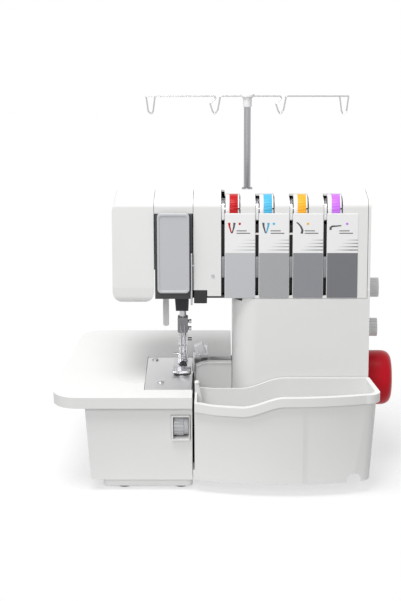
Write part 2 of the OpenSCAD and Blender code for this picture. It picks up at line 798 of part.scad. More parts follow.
module trim_bin() {
    color("white") difference() {
        union() {
            bin_body(0);
            intersection() {
                zprism(80, bin_high_z + 0.1) bin_plan(0);
                above_rim(lip[0], bin_high_z + 2);
            }
        }
        difference() {
            bin_body(wall);
            block([-big, big], [-big, big], [0, bin_floor]);
        }
        bin_lower_hollow();
        above_rim(0, 200);
        yprism(-big, -100) union() {                             // notch for lifting the bin
            translate([136, 16]) circle(r = 7.6);
            box2([128.4, 136], [10, 17]);
        }
    }
    color("white") translate([0, -100, 0]) {                      // catch post on the left end
        hull() {
            block([-32.8, -25], [0, 4], [89, 91]);
            block([-32.8, -28.6], [0, 4], [110, 111.5]);
        }
        translate([-30.7, 2, 113]) sphere(r = 2.7);
    }
}

module bin_lower_hollow() {
    intersection() {
        bin_body(wall);
        block([-28, big], [-big, big], [13, bin_floor - wall]);
    }
}

// ---- looper cover -------------------------------------------------------------------

module cover_plan() {
    difference() {
        polygon(concat([[side_x, -69], [side_x, face_y]],
            [for (a = [0:4.5:90]) [34 - 27 * sin(a), -50 - 28 * cos(a)]],
            [[column_x, -36.5], [side_x - wall, -36.5], [side_x - wall, -69]]));
        polygon(concat([[side_x - wall, -69.5], [side_x - wall, face_y + wall]],
            [for (a = [0:4.5:90]) [34 - 24.5 * sin(a), -50 - 25.5 * cos(a)]],
            [[column_x + wall, -30], [side_x - wall, -30]]));
    }
}

module looper_cover() {
    color("whitesmoke") difference() {
        union() {
            zprism(20, seam_z) cover_plan();
            for (x = hinge_x) xcyl(x, x + 8, 2.7, hinge_yz[0], hinge_yz[1]);
        }
        for (x = hinge_x) {
            xcyl(x - 1, x + 8.1, hinge_pin_r + fit, hinge_yz[0], hinge_yz[1]);
            block([x + 8, x + 13], [-80, -60], [10, 31]);                 // room for the bracket
        }
        block([130, big], [-74, 0], [0, 30]);
        block([0, 40], [-72, 0], [196, 205]);
    }
}

module looper_guard() {
    x = [bed_right + 2.2, column_x - 0.3];
    ramp = x[0] + 12;                           // the lip falls away towards the needles
    color("darkgray") yprism(-39, -36.5)
        polygon([[x[0], 76], [x[1], 76], [x[1], 116], [ramp, 116], [x[0], 112]]);
    color("white") yprism(-41, -32.5)
        polygon([[x[0], 111.2], [x[0], 113.6], [ramp, 117.6], [x[1], 117.6], [x[1], 115.2], [ramp, 115.2]]);
}

module trim_chute() {
    color("white") xprism(bed_right + 2.2, column_x) polygon([[-39, 73], [-39, 70], [-60, 62], [-75, 60], [-75, 22],
        [-77.5, 22], [-77.5, 62], [-60, 65]]);
}

// ---- extension table ------------------------------------------------------------------

module table_plan() {
    difference() {
        offset(r = 26, $fn = 64) offset(delta = -26)
            polygon([[left_x, -131], [60, -131], [60, 113], [-164, 113], [left_x, -96]]);
        box2([bed_right, 100], [-140, -104]);
        box2([plate_left, 100], [-104.2, 12]);
        box2([column_x - 1, 100], [0, 200]);
    }
}

module extension_table() {
    color("white") {
        difference() {
            zprism(bed_z - 3, bed_z) table_plan();
            translate([-92, -56, bed_z + 260 - 1.4]) sphere(r = 260);     // shallow dish by the needle plate
        }
        zprism(bed_z - table_rim, bed_z - 3) difference() {
            table_plan();
            offset(delta = -3) offset(r = 26, $fn = 64) offset(delta = -26)
                polygon([[left_x, -131], [60, -131], [60, 113], [-164, 113], [left_x, -96]]);
        }
        for (x = [-130, -104]) block([x, x + 3], [-110, 40], [96.8, bed_z - 3]);
    }
}

// ---- draw -------------------------------------------------------------------------------

base_pan();
feet();
bed_cover();
dial_bezel();
head_end_cover();
head_top_cover();
head_front_panel();
face_plate();
head_inner_frame();
lamp_housing();
tension_cover();
channel_liners();
rear_cover();
right_side_cover();
frame_casting();
shaft_bushes();
needle_plate();
housing_screws();
lower_knife();
presser_spring();
tension_units();
motor();
drive_belt();
circuit_board();
inlet_socket();
spool_stand();
spool_pins();
spool_cones();
pole_outer();
trim_bin();
looper_cover();
looper_guard();
trim_chute();
extension_table();
main_shaft();
handwheel();
shaft_pulley();
motor_pulley();
needle_bar();
needle_clamp();
needles();
needle_drive_lever();
presser_bar();
presser_foot();
presser_lifter();
main_feed_dog();
differential_feed_dog();
upper_looper();
lower_looper();
upper_knife();
tension_dial(0, "firebrick");  // tension_dial_left_needle
tension_dial(1, "skyblue");  // tension_dial_right_needle
tension_dial(2, "orange");  // tension_dial_upper_looper
tension_dial(3, "orchid");  // tension_dial_lower_looper
stitch_length_knob();
differential_knob();
cutting_width_dial();
pole_inner();
guide_bar();
power_switch();
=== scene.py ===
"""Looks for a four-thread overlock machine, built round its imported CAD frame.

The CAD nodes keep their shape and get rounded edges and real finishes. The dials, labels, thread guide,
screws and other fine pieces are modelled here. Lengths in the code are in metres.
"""

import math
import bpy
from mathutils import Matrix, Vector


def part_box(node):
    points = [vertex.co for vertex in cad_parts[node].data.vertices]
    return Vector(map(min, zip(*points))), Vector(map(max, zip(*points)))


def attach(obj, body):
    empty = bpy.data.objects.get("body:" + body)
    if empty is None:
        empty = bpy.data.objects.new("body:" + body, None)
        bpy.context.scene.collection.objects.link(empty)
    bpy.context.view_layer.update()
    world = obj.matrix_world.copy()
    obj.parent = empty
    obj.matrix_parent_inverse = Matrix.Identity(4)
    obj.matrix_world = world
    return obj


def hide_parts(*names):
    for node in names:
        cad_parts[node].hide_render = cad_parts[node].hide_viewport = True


bl_info = {
    "name": "Overlock Machine Looks",
    "version": (1, 0, 0),
    "blender": (4, 5, 0),
    "location": "View3D > Sidebar > Overlock",
    "description": "Finishes and fine pieces of a four-thread overlock machine",
    "category": "Object",
}

import bmesh
import bpy
from mathutils import Vector

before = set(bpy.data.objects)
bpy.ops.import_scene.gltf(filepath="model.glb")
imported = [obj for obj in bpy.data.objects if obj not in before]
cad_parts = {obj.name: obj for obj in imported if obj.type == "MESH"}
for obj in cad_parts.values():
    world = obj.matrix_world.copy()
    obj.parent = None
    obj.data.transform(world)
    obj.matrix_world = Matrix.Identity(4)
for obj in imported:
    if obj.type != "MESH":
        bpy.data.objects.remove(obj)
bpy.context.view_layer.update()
MM = 0.001
PLACES = {node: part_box(node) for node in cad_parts}


# ---- colours and nodes -----------------------------------------------------------------------------


def linear(hex_colour):
    """Turns an sRGB hex colour into the linear values that shaders use."""
    channels = [int(hex_colour[i : i + 2], 16) / 255 for i in (0, 2, 4)]
    return [c / 12.92 if c <= 0.04045 else ((c + 0.055) / 1.055) ** 2.4 for c in channels]


def add_node(tree, kind, inputs=None, **settings):
    """Adds a node. Each input is given a value, or an output socket to link it to."""
    node = tree.nodes.new(kind)
    for name, value in settings.items():
        setattr(node, name, value)
    for name, value in (inputs or {}).items():
        if isinstance(value, bpy.types.NodeSocket):
            tree.links.new(value, node.inputs[name])
        else:
            node.inputs[name].default_value = value
    return node


def empty_material(name):
    """A material with a Principled shader wired to its output."""
    material = bpy.data.materials.new(name)
    material.use_nodes = True
    tree = material.node_tree
    tree.nodes.clear()
    shader = add_node(tree, "ShaderNodeBsdfPrincipled")
    add_node(tree, "ShaderNodeOutputMaterial", {"Surface": shader.outputs["BSDF"]})
    place = add_node(tree, "ShaderNodeTexCoord").outputs["Object"]
    return material, tree, shader, place


def tint(tree, factor, low, high):
    """Blends two colours by a factor socket."""
    mix = add_node(tree, "ShaderNodeMix", data_type="RGBA")
    tree.links.new(factor, mix.inputs[0])
    mix.inputs[6].default_value = (*low, 1)
    mix.inputs[7].default_value = (*high, 1)
    return mix.outputs[2]


def remap(tree, value, low, high, to_low, to_high):
    """Maps a value socket from one range to another, clamped."""
    return add_node(tree, "ShaderNodeMapRange", {"Value": value, "From Min": low, "From Max": high,
                                                 "To Min": to_low, "To Max": to_high}).outputs[0]


def maths(tree, operation, first, second=0.0):
    """One Math node."""
    return add_node(tree, "ShaderNodeMath", {0: first, 1: second}, operation=operation).outputs[0]


# ---- finishes --------------------------------------------------------------------------------------


def moulded_plastic(name, shade, roughness=0.36, grain=0.9 * MM, depth=0.03, gloss=0.5, see_through=0.0):
    """Injection-moulded ABS. A spark-eroded mould leaves a fine grain, and flow leaves faint cloudy patches."""
    material, tree, shader, place = empty_material(name)
    colour = linear(shade) if isinstance(shade, str) else list(shade)
    cloud = add_node(tree, "ShaderNodeTexNoise", {"Vector": place, "Scale": 1 / (45 * MM), "Detail": 2.0}).outputs[0]
    tree.links.new(tint(tree, cloud, [c * 0.965 for c in colour], colour), shader.inputs["Base Color"])
    speck = add_node(tree, "ShaderNodeTexNoise", {"Vector": place, "Scale": 1 / grain, "Detail": 3.0}).outputs[0]
    tree.links.new(remap(tree, speck, 0.3, 0.7, roughness - 0.04, roughness + 0.06), shader.inputs["Roughness"])
    bump = add_node(tree, "ShaderNodeBump", {"Height": speck, "Strength": depth, "Distance": 0.05 * MM})
    tree.links.new(bump.outputs[0], shader.inputs["Normal"])
    shader.inputs["IOR"].default_value = 1.53
    shader.inputs["Specular IOR Level"].default_value = gloss
    shader.inputs["Transmission Weight"].default_value = see_through
    return material


def brushed_steel(name, hex_colour, along, roughness=0.3, line=0.25 * MM, depth=0.12):
    """Steel drawn over an abrasive belt. The scratches run along one axis and stretch the highlights."""
    material, tree, shader, place = empty_material(name)
    stretch = [1.0, 1.0, 1.0]
    stretch[along] = 0.02
    lines = add_node(tree, "ShaderNodeMapping", {"Vector": place, "Scale": stretch}).outputs[0]
    scratch = add_node(tree, "ShaderNodeTexNoise", {"Vector": lines, "Scale": 1 / line, "Detail": 4.0}).outputs[0]
    colour = linear(hex_colour)
    tree.links.new(tint(tree, scratch, [c * 0.86 for c in colour], colour), shader.inputs["Base Color"])
    tree.links.new(remap(tree, scratch, 0.3, 0.7, roughness - 0.06, roughness + 0.1), shader.inputs["Roughness"])
    bump = add_node(tree, "ShaderNodeBump", {"Height": scratch, "Strength": depth, "Distance": 0.02 * MM})
    tree.links.new(bump.outputs[0], shader.inputs["Normal"])
    shader.inputs["Metallic"].default_value = 1.0
    return material


def plated_steel(name, hex_colour, roughness=0.16, patch=3 * MM):
    """Nickel-plated steel. Handling leaves soft cloudy marks in a bright finish."""
    material, tree, shader, place = empty_material(name)
    smear = add_node(tree, "ShaderNodeTexNoise", {"Vector": place, "Scale": 1 / patch, "Detail": 5.0}).outputs[0]
    colour = linear(hex_colour)
    tree.links.new(tint(tree, smear, [c * 0.9 for c in colour], colour), shader.inputs["Base Color"])
    tree.links.new(remap(tree, smear, 0.3, 0.75, roughness, roughness + 0.14), shader.inputs["Roughness"])
    bump = add_node(tree, "ShaderNodeBump", {"Height": smear, "Strength": 0.04, "Distance": 0.05 * MM})
    tree.links.new(bump.outputs[0], shader.inputs["Normal"])
    shader.inputs["Metallic"].default_value = 1.0
    return material


def cast_aluminium(name, hex_colour, roughness=0.55, grain=1.4 * MM):
    """Die-cast aluminium as it leaves the die, grey and slightly pebbled."""
    material, tree, shader, place = empty_material(name)
    pebble = add_node(tree, "ShaderNodeTexNoise", {"Vector": place, "Scale": 1 / grain, "Detail": 6.0}).outputs[0]
    colour = linear(hex_colour)
    tree.links.new(tint(tree, pebble, [c * 0.8 for c in colour], colour), shader.inputs["Base Color"])
    tree.links.new(remap(tree, pebble, 0.3, 0.7, roughness - 0.1, roughness + 0.1), shader.inputs["Roughness"])
    bump = add_node(tree, "ShaderNodeBump", {"Height": pebble, "Strength": 0.3, "Distance": 0.1 * MM})
    tree.links.new(bump.outputs[0], shader.inputs["Normal"])
    shader.inputs["Metallic"].default_value = 0.9
    return material


def soft_rubber(name, hex_colour, grain=0.6 * MM):
    """Moulded rubber, matt with a fine dusty tooth."""
    material, tree, shader, place = empty_material(name)
    dust = add_node(tree, "ShaderNodeTexNoise", {"Vector": place, "Scale": 1 / grain, "Detail": 4.0}).outputs[0]
    colour = linear(hex_colour)
    tree.links.new(tint(tree, dust, colour, [c * 1.5 for c in colour]), shader.inputs["Base Color"])
    tree.links.new(remap(tree, dust, 0.3, 0.7, 0.68, 0.88), shader.inputs["Roughness"])
    bump = add_node(tree, "ShaderNodeBump", {"Height": dust, "Strength": 0.2, "Distance": 0.05 * MM})
    tree.links.new(bump.outputs[0], shader.inputs["Normal"])
    shader.inputs["IOR"].default_value = 1.52
    return material


def printed_label(name, field_hex, dot_colour, low, high, dot_at):
    """Printed polyester label: a pale top with fading bars, and a solid field below, under a satin laminate."""
    material, tree, shader, place = empty_material(name)
    axes = add_node(tree, "ShaderNodeSeparateXYZ", {"Vector": place})
    across = remap(tree, axes.outputs["X"], low.x, high.x, 0.0, 1.0)
    up = axes.outputs["Z"]
    height = high.z - low.z
    field_top = low.z + 0.537 * height
    bar_pitch = 3.56 * MM
    bars_top = field_top + 4.2 * bar_pitch
    step = maths(tree, "FRACT", maths(tree, "DIVIDE", maths(tree, "SUBTRACT", up, field_top + 2.6 * MM), bar_pitch))
    in_bar = maths(tree, "LESS_THAN", step, 0.33)
    below = maths(tree, "LESS_THAN", up, bars_top)
    above = maths(tree, "GREATER_THAN", up, field_top + 2.4 * MM)
    reach = remap(tree, up, field_top, bars_top, 0.08, 0.62)
    fade = maths(tree, "MULTIPLY", maths(tree, "SUBTRACT", across, reach), 1.7)
    fade = add_node(tree, "ShaderNodeClamp", {"Value": fade}).outputs[0]
    bars = maths(tree, "MULTIPLY", maths(tree, "MULTIPLY", in_bar, below), maths(tree, "MULTIPLY", above, fade))
    field = maths(tree, "LESS_THAN", up, field_top)
    ink = maths(tree, "MAXIMUM", bars, field)
    paper = add_node(tree, "ShaderNodeTexNoise", {"Vector": place, "Scale": 1 / (1.2 * MM), "Detail": 3.0}).outputs[0]
    pale = tint(tree, paper, linear("ECECEC"), linear("F3F3F3"))
    solid = linear(field_hex)
    dark = tint(tree, paper, [c * 0.95 for c in solid], solid)
    base = add_node(tree, "ShaderNodeMix", data_type="RGBA")
    tree.links.new(ink, base.inputs[0])
    tree.links.new(pale, base.inputs[6])
    tree.links.new(dark, base.inputs[7])
    dot = add_node(tree, "ShaderNodeVectorMath", {0: place, 1: (low.x + dot_at * (high.x - low.x), high.y,
                                                                 low.z + 0.883 * height)}, operation="SUBTRACT")
    flat = add_node(tree, "ShaderNodeVectorMath", {0: dot.outputs[0], 1: (1, 0, 1)}, operation="MULTIPLY")
    away = add_node(tree, "ShaderNodeVectorMath", {0: flat.outputs[0]}, operation="LENGTH").outputs["Value"]
    spot = maths(tree, "LESS_THAN", away, 1.35 * MM)
    final = add_node(tree, "ShaderNodeMix", data_type="RGBA")
    tree.links.new(spot, final.inputs[0])
    tree.links.new(base.outputs[2], final.inputs[6])
    final.inputs[7].default_value = (*dot_colour, 1)
    tree.links.new(final.outputs[2], shader.inputs["Base Color"])
    tree.links.new(remap(tree, paper, 0.3, 0.7, 0.3, 0.42), shader.inputs["Roughness"])
    shader.inputs["IOR"].default_value = 1.5
    return material


def fading_paper(name, solid, gone):
    """White studio paper, thin enough for a soft shadow, that fades out between two distances from the middle."""
    material, tree, shader, place = empty_material(name)
    fibre = add_node(tree, "ShaderNodeTexNoise", {"Vector": place, "Scale": 300.0}).outputs[0]
    tree.links.new(tint(tree, fibre, linear("FAFAFA"), linear("FFFFFF")), shader.inputs["Base Color"])
    shader.inputs["Roughness"].default_value = 0.9
    shader.inputs["Specular IOR Level"].default_value = 0.1
    away = add_node(tree, "ShaderNodeVectorMath", {0: place}, operation="LENGTH").outputs["Value"]
    tree.links.new(remap(tree, away, solid, gone, PAPER_WEIGHT, 0.0), shader.inputs["Alpha"])
    return material


# focal length in mm, place, sideways shift, and how many degrees the camera looks down
CAMERA_LENS = 117.27
CAMERA_PLACE = (-0.003, -2.0765, 0.7735)
CAMERA_SHIFT = -0.0374
CAMERA_DIP = 16.06
# the surround's strength as scattered light; straight rays and reflections see it at full strength
AMBIENT = 0.42
# how strongly the paper shows a shadow
PAPER_WEIGHT = 0.4
# where the floor starts to fade and where it is gone, in metres from the middle
FLOOR_FADE = (0.19, 0.34)
# name, place, aim, size and watts
LAMPS = (
    ("overhead softbox", (-0.3, -0.45, 1.7), (-0.05, 0, 0.15), 0.9, 21),
    ("front softbox", (-0.7, -2.2, 1.3), (0, 0, 0.25), 0.9, 19),
)
FINISHES = {}


def finish(name):
    """The material of that name."""
    return FINISHES[name]


# ---- mesh work -------------------------------------------------------------------------------------


def deselect():
    """Nothing selected and no edit mode, so the next operator acts on its own piece only."""
    if bpy.context.object and bpy.context.object.mode != "OBJECT":
        bpy.ops.object.mode_set(mode="OBJECT")
    bpy.ops.object.select_all(action="DESELECT")


def settle(piece):
    """Puts the object's place, turn and scale into its mesh."""
    deselect()
    piece.select_set(True)
    bpy.context.view_layer.objects.active = piece
    bpy.ops.object.transform_apply(location=True, rotation=True, scale=True)


def new_block(name, low, high):
    """A cube primitive that fills a box."""
    deselect()
    middle = [(a + b) / 2 for a, b in zip(low, high)]
    bpy.ops.mesh.primitive_cube_add(size=1, location=middle)
    piece = bpy.context.object
    piece.name = piece.data.name = name
    piece.scale = [b - a for a, b in zip(low, high)]
    settle(piece)
    return piece


TURNS = {"X": (0, math.pi / 2, 0), "Y": (math.pi / 2, 0, 0), "Z": (0, 0, 0)}


def new_drum(name, radius, length, middle, axis="Z", sides=64, cap="NGON"):
    """A cylinder primitive along an axis."""
    deselect()
    bpy.ops.mesh.primitive_cylinder_add(vertices=sides, radius=radius, depth=length, location=middle,
                                        rotation=TURNS[axis], end_fill_type=cap)
    piece = bpy.context.object
    piece.name = piece.data.name = name
    settle(piece)
    return piece


def edit(piece, kind="FACE", test=None):
    """Opens a piece in edit mode, with the faces, edges or vertices selected that pass the test."""
    deselect()
    bpy.context.view_layer.objects.active = piece
    piece.select_set(True)
    bpy.ops.object.mode_set(mode="EDIT")
    bpy.ops.mesh.select_mode(type=kind)
    bpy.ops.mesh.select_all(action="DESELECT")
    mesh = bmesh.from_edit_mesh(piece.data)
    items = {"FACE": mesh.faces, "EDGE": mesh.edges, "VERT": mesh.verts}[kind]
    for item in items:
        if test is None or test(item):
            item.select_set(True)
    mesh.select_flush_mode()
    bmesh.update_edit_mesh(piece.data)


def shut(piece):
    """Leaves edit mode."""
    bpy.ops.object.mode_set(mode="OBJECT")
    return piece


def edge_along(edge, axis):
    """Whether an edge runs along an axis (0, 1 or 2)."""
    line = (edge.verts[1].co - edge.verts[0].co).normalized()
    return abs(line[axis]) > 0.99


def add_modifier(piece, kind, **settings):
    """Adds a modifier and applies it."""
    deselect()
    bpy.context.view_layer.objects.active = piece
    piece.select_set(True)
    modifier = piece.modifiers.new(kind.lower(), kind)
    for name, value in settings.items():
        setattr(modifier, name, value)
    bpy.ops.object.modifier_apply(modifier=modifier.name)


def hand_over(piece, body, material, slot, *replaced, smooth=35):
    """Shades a finished piece, gives it its finish, and has it ride on its CAD body."""
    deselect()
    bpy.context.view_layer.objects.active = piece
    piece.select_set(True)
    if smooth:
        bpy.ops.object.shade_smooth_by_angle(angle=math.radians(smooth))
    if not piece.data.materials:
        piece.data.materials.append(finish(material))
    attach(piece, body)
    if replaced:
        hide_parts(*replaced)
    return piece


def join(pieces, name):
    """Joins pieces into the first one."""
    deselect()
    for piece in pieces:
        piece.select_set(True)
    bpy.context.view_layer.objects.active = pieces[0]
    bpy.ops.object.join()
    pieces[0].name = pieces[0].data.name = name
    return pieces[0]


def cut(piece, cutter):
    """Takes a cutter out of a piece and throws the cutter away."""
    add_modifier(piece, "BOOLEAN", object=cutter, operation="DIFFERENCE", solver="EXACT")
    bpy.data.objects.remove(cutter)


def round_edges(piece, width, segments=2, angle=30):
    """Rounds every edge that is sharper than the angle."""
    add_modifier(piece, "BEVEL", width=width, segments=segments, limit_method="ANGLE",
                 angle_limit=math.radians(angle), harden_normals=False)


def ribbed_drum(name, radius, ends, middle, ribs, depth, crown=0.0):
    """A drum along X with grooves between its ribs. A crown insets its outer end and sinks the middle."""
    sides = ribs * 4
    centre = Vector(((ends[0] + ends[1]) / 2, middle[0], middle[1]))
    piece = new_drum(name, radius, ends[1] - ends[0], centre, "X", sides)

    def in_groove(face):
        if abs(face.normal.x) > 0.5:
            return False
        angle = math.atan2(face.normal.z, face.normal.y) / math.tau * sides
        return round(angle - 0.5) % 4 == 0

    edit(piece, "FACE", in_groove)
    bpy.ops.mesh.inset(thickness=radius * 0.012, depth=-depth, use_individual=True)
    if crown:
        bpy.ops.mesh.select_all(action="DESELECT")
        mesh = bmesh.from_edit_mesh(piece.data)
        for face in mesh.faces:
            face.select_set(face.normal.x > 0.9 and face.calc_area() > radius * radius)
        bmesh.update_edit_mesh(piece.data)
        bpy.ops.mesh.inset(thickness=crown, depth=0)
        bpy.ops.mesh.inset(thickness=crown * 0.4, depth=-crown * 0.35)
    shut(piece)
    return piece


def wire(name, points, radius, reach):
    """Round wire through a list of corners, each bent over the reach."""
    line = [points[0]]
    for before, corner, after in zip(points, points[1:], points[2:]):
        for end in (before, after):
            step = min(reach, (end - corner).length * 0.45)
            near = corner + (end - corner).normalized() * step
            line.append(near)
            if end is before:
                line.append(corner)
    line.append(points[-1])
    deselect()
    bpy.ops.curve.primitive_nurbs_path_add()
    piece = bpy.context.object
    piece.name = piece.data.name = name
    piece.data.splines.clear()
    spline = piece.data.splines.new("NURBS")
    spline.points.add(len(line) - 1)
    for point, place in zip(spline.points, line):
        point.co = (*place, 1)
    spline.order_u = 3
    spline.use_endpoint_u = True
    spline.resolution_u = 4
    piece.data.dimensions = "3D"
    piece.data.bevel_depth = radius
    piece.data.bevel_resolution = 3
    piece.data.use_fill_caps = True
    bpy.ops.object.convert(target="MESH")
    piece = bpy.context.object
    settle(piece)
    edit(piece)
    bpy.ops.mesh.remove_doubles(threshold=0.005 * MM)
    bpy.ops.mesh.select_all(action="SELECT")
    bpy.ops.mesh.normals_make_consistent(inside=False)
    return shut(piece)


def soften(node, width, segments=3, angle=28):
    """Rounds a CAD node's sharp edges by modifiers, and leaves its mesh alone."""
    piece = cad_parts[node]
    weld = piece.modifiers.new("weld", "WELD")
    weld.merge_threshold = 0.01 * MM
    flats = piece.modifiers.new("flats", "DECIMATE")
    flats.decimate_type = "DISSOLVE"
    flats.angle_limit = math.radians(0.6)
    edges = piece.modifiers.new("edges", "BEVEL")
    edges.width = width
    edges.segments = segments
    edges.limit_method = "ANGLE"
    edges.angle_limit = math.radians(angle)
    edges.harden_normals = True


# ---- the finishes' colours and the sizes a user may change --------------------------------------------


def colour_property(name, description, hex_colour):
    """A colour setting with its default taken from a hex value."""
    return bpy.props.FloatVectorProperty(name=name, description=description, subtype="COLOR", size=3,
                                         min=0.0, max=1.0, default=linear(hex_colour))


class OverlockColours(bpy.types.PropertyGroup):
    """Colours of the mouldings and of the four thread paths."""

    housing: colour_property("Housing", "Colour of the moulded covers", "E9E9E8")
    trim: colour_property("Trim", "Colour of the face plate and knobs", "C4C5C8")
    handwheel: colour_property("Handwheel", "Colour of the handwheel", "CE1024")
    left_needle: colour_property("Left needle", "Colour of the left needle's dial", "B8000C")
    right_needle: colour_property("Right needle", "Colour of the right needle's dial", "4FB4DA")
    upper_looper: colour_property("Upper looper", "Colour of the upper looper's dial", "F3AE2C")
    lower_looper: colour_property("Lower looper", "Colour of the lower looper's dial", "C774EA")


class OverlockSizes(bpy.types.PropertyGroup):
    """Sizes of the fine detail."""

    edge_round: bpy.props.FloatProperty(
        name="Edge round", description="Radius on the edges of the moulded covers", default=0.9 * MM,
        min=0.1 * MM, max=3 * MM, unit="LENGTH", subtype="DISTANCE")
    face_lean: bpy.props.FloatProperty(
        name="Face lean", description="How far the top of the tower's face leans back", default=5 * MM,
        min=0.0, max=8 * MM, unit="LENGTH", subtype="DISTANCE")
    label_thickness: bpy.props.FloatProperty(
        name="Label thickness", description="How far a label plate stands off the cover", default=0.5 * MM,
        min=0.1 * MM, max=2 * MM, unit="LENGTH", subtype="DISTANCE")
    wire_radius: bpy.props.FloatProperty(
        name="Guide wire radius", description="Radius of the thread guide's wire", default=0.9 * MM,
        min=0.4 * MM, max=1.5 * MM, unit="LENGTH", subtype="DISTANCE")


CLASSES = [OverlockColours, OverlockSizes]


def sizes():
    """The size settings of this scene."""
    return bpy.context.scene.overlock_sizes


def colours():
    """The colour settings of this scene."""
    return bpy.context.scene.overlock_colours


class OverlockFinishes(bpy.types.Operator):
    """Makes the materials and puts them on the CAD nodes"""

    bl_idname = "overlock.finishes"
    bl_label = "Finishes"

    def execute(self, context):
        def add(make, name, *values, **settings):
            FINISHES[name] = make(name, *values, **settings)

        add(moulded_plastic, "white ABS", colours().housing, 0.34)
        add(moulded_plastic, "light grey ABS", colours().trim, 0.38)
        add(moulded_plastic, "ink grey", "4A4A4F", 0.5)
        add(moulded_plastic, "pale grey ABS", "F0F0F1", 0.4)
        add(moulded_plastic, "grey ABS", "8E8F92", 0.4)
        add(moulded_plastic, "dark ABS", "3A3A3C", 0.5)
        add(moulded_plastic, "black ABS", "151516", 0.5)
        add(moulded_plastic, "red ABS", colours().handwheel, 0.3, depth=0.015, gloss=0.15)
        for path in THREAD_PATHS:
            add(moulded_plastic, "dial " + path.replace("_", " "), getattr(colours(), path), 0.28, depth=0.015,
                gloss=0.2)
        add(moulded_plastic, "milky polypropylene", "F7F7F7", 0.3, see_through=0.1)
        add(brushed_steel, "brushed needle plate", "E4E4E4", 1, 0.4)
        add(brushed_steel, "anodised tube", "AFAFB2", 2, 0.36)
        add(plated_steel, "nickel-plated steel", "C6C6C9")
        add(plated_steel, "ground steel", "CFCFD1", 0.28, 1.2 * MM)
        add(cast_aluminium, "die-cast aluminium", "8A8B8E")
        add(cast_aluminium, "blackened casting", "3C3C3F", 0.5)
        add(cast_aluminium, "sintered bronze", "B08D57", 0.5, 0.5 * MM)
        add(soft_rubber, "foot rubber", "2A2A2B")
        add(soft_rubber, "belt rubber", "161616")
        add(moulded_plastic, "green solder mask", "1F5A38", 0.3)
        on_nodes = {
            "white ABS": ["base_pan", "bed_cover", "dial_bezel", "head_end_cover", "head_top_cover",
                          "head_front_panel", "tension_cover", "rear_cover", "right_side_cover", "spool_stand",
                          "trim_bin", "looper_cover", "looper_guard", "extension_table", "trim_chute",
                          *("tension_dial_" + path for path in THREAD_PATHS)],
            "light grey ABS": ["face_plate"],
            "dark ABS": ["head_inner_frame", "shaft_pulley", "motor_pulley", "inlet_socket"],
            "black ABS": ["lamp_housing", "channel_liners", "power_switch"],
            "red ABS": ["handwheel"],
            "milky polypropylene": ["spool_pins", "spool_cones", "presser_lifter"],
            "brushed needle plate": ["needle_plate"],
            "anodised tube": ["pole_outer", "pole_inner"],
            "nickel-plated steel": ["housing_screws", "needle_bar", "needles", "presser_bar", "presser_foot",
                                    "presser_spring", "guide_bar", "tension_units", "main_shaft", "upper_knife"],
            "ground steel": ["lower_knife", "needle_drive_lever", "main_feed_dog",
                             "differential_feed_dog", "upper_looper", "lower_looper"],
            "blackened casting": ["frame_casting"],
            "die-cast aluminium": ["motor", "needle_clamp"],
            "sintered bronze": ["shaft_bushes"],
            "foot rubber": ["feet"],
            "belt rubber": ["drive_belt"],
            "green solder mask": ["circuit_board"],
        }
        for name, nodes in on_nodes.items():
            for node in nodes:
                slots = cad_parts[node].data.materials
                slots.clear()
                slots.append(finish(name))
        return {"FINISHED"}


CLASSES.append(OverlockFinishes)


class OverlockEdges(bpy.types.Operator):
    """Rounds the CAD nodes' edges"""

    bl_idname = "overlock.edges"
    bl_label = "Rounded edges"

    def execute(self, context):
        width = sizes().edge_round
        for node in ("bed_cover", "dial_bezel", "head_end_cover", "head_top_cover", "head_front_panel", "face_plate",
                     "tension_cover", "rear_cover", "right_side_cover", "looper_cover", "looper_guard",
                     "trim_chute"):
            soften(node, width)
        soften("trim_bin", 1.2 * MM)
        soften("extension_table", 2.4 * MM, 5)
        soften("base_pan", 1.5 * MM)
        soften("spool_stand", 1.5 * MM)
        for node in ("head_inner_frame", "lamp_housing", "needle_clamp", "presser_foot", "presser_lifter",
                     "upper_knife", "frame_casting", "cutting_width_dial", "needle_plate", "pole_outer",
                     "stitch_length_knob", "differential_knob"):
            soften(node, 0.4 * MM, 2)
        return {"FINISHED"}


CLASSES.append(OverlockEdges)


SLOT_X = PLACES["channel_liners"][0].x + 3 * MM
SLOT_PITCH = (PLACES["channel_liners"][1].x - PLACES["channel_liners"][0].x - 6 * MM) / 3
SLOT_WIDTH = 3.6 * MM
LABEL_HEIGHT = 90.4 * MM
# printed fields of the four labels, darker to the right
LABEL_FIELDS = ("C1C3C6", "A8A9AB", "8D8E93", "747579")
# bottom and top of the grey and the pale tab in each slot
TABS = (("low", 222 * MM, 245 * MM, "grey ABS"), ("high", 284 * MM, 300 * MM, "pale grey ABS"))
THREAD_PATHS = ("left_needle", "right_needle", "upper_looper", "lower_looper")
DIAL_SLOTS = ("red_plastic", "blue_plastic", "amber_plastic", "purple_plastic")


def face_y(z):
    """Where the leaning face of the tower is at a height."""
    low, high = PLACES["tension_cover"]
    return low.y + sizes().face_lean * (z - low.z) / (high.z - low.z)


